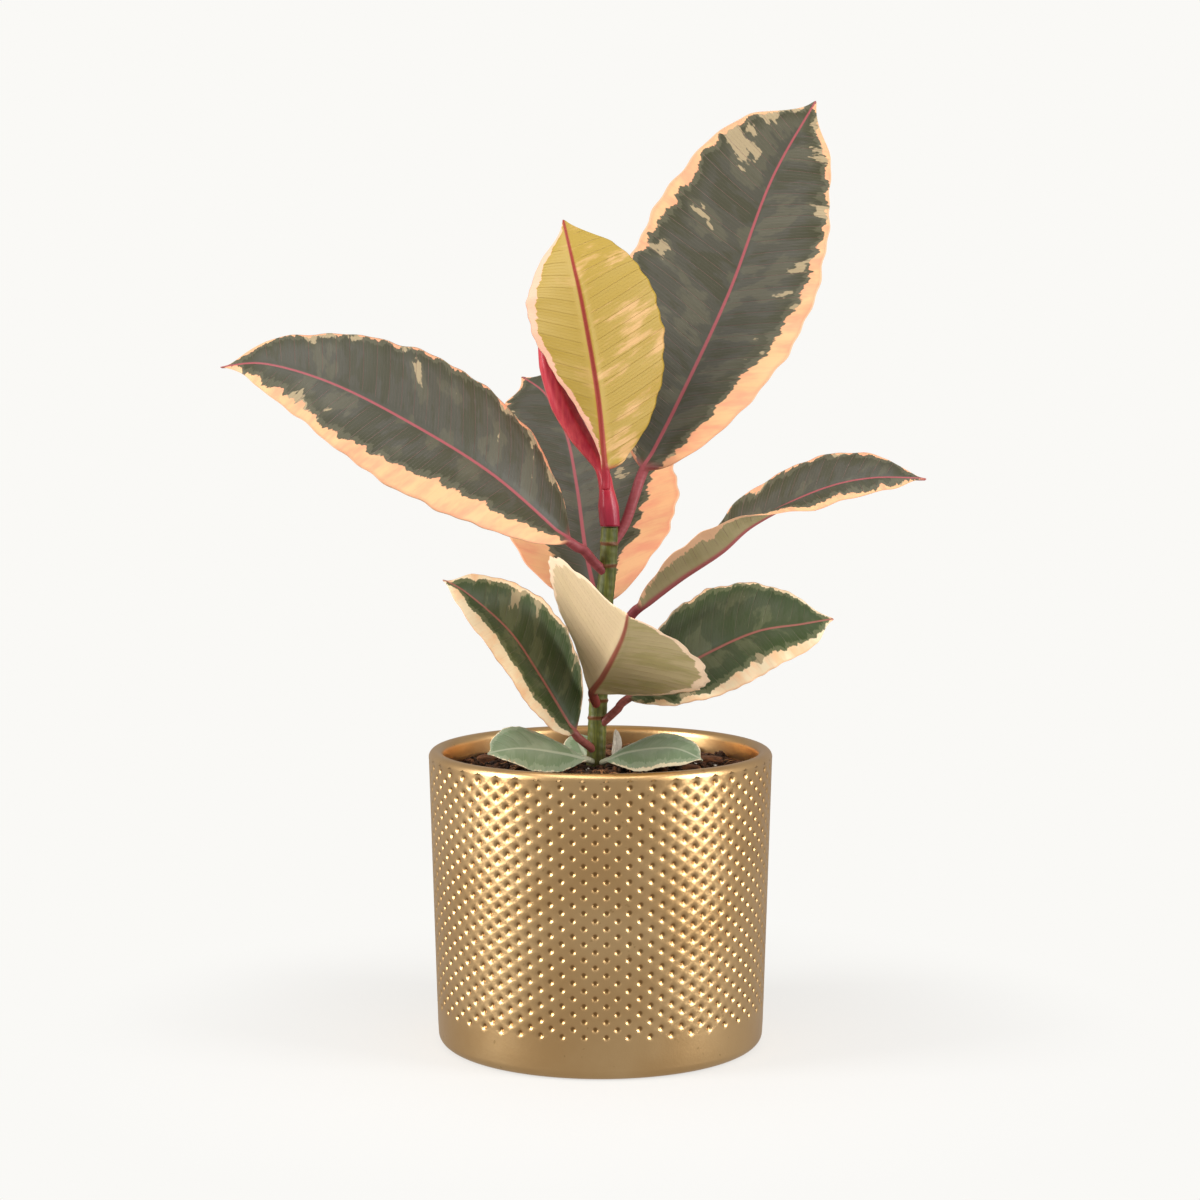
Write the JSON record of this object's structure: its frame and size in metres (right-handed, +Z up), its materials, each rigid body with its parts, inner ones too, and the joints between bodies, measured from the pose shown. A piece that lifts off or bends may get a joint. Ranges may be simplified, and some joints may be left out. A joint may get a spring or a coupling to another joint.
{
  "type": "potted rubber plant",
  "caption": "Young variegated rubber plant with broad pink-edged leaves on one stem, growing in a round dimpled gold pot; a free-standing house plant for a shelf or table.",
  "frame": {"origin": "centre of the flat underside of the pot, on the surface it stands on", "axes": "+Z up along the pot axis; +X to the right and +Y away, seen from the front"},
  "size_m": [0.276, 0.203, 0.386],
  "materials": {
    "pot_gold": "satin metallic gold glaze over a dimpled wall",
    "soil": "moist peat and coir potting mix, matt and crumbly",
    "bark": "rough dry bark",
    "stem": "smooth green young stem, browner at its foot",
    "sheath_red": "waxy crimson bud sheath",
    "sheath_dry": "dry papery scale",
    "leaf_new": "waxy young leaf, mustard green with pink edge",
    "leaf_variegated": "waxy grey green leaf with peach and cream margin",
    "leaf_green": "waxy deep green leaf with cream margin",
    "leaf_pale": "dull sage leaf with cream margin"
  },
  "bodies": {
    "root": {"pot": "pot_gold", "potting_soil": "soil", "bark_chip_01": "bark", "bark_chip_02": "bark", "bark_chip_03": "bark", "bark_chip_04": "bark", "bark_chip_05": "bark", "bark_chip_06": "bark", "bark_chip_07": "bark", "bark_chip_08": "bark", "bark_chip_09": "bark", "bark_chip_10": "bark", "bark_chip_11": "bark", "bark_chip_12": "bark", "main_stem": "stem", "bud_sheath": "sheath_red", "dried_sheath": "sheath_dry", "leaf_new_top": "leaf_new", "leaf_top_right": "leaf_variegated", "leaf_left": "leaf_variegated", "leaf_back": "leaf_variegated", "leaf_right": "leaf_variegated", "leaf_front_folded": "leaf_variegated", "leaf_lower_left": "leaf_green", "leaf_lower_right": "leaf_green", "leaf_soil_left": "leaf_pale", "leaf_soil_right": "leaf_pale", "leaf_soil_back": "leaf_pale"}
  },
  "joints": []
}
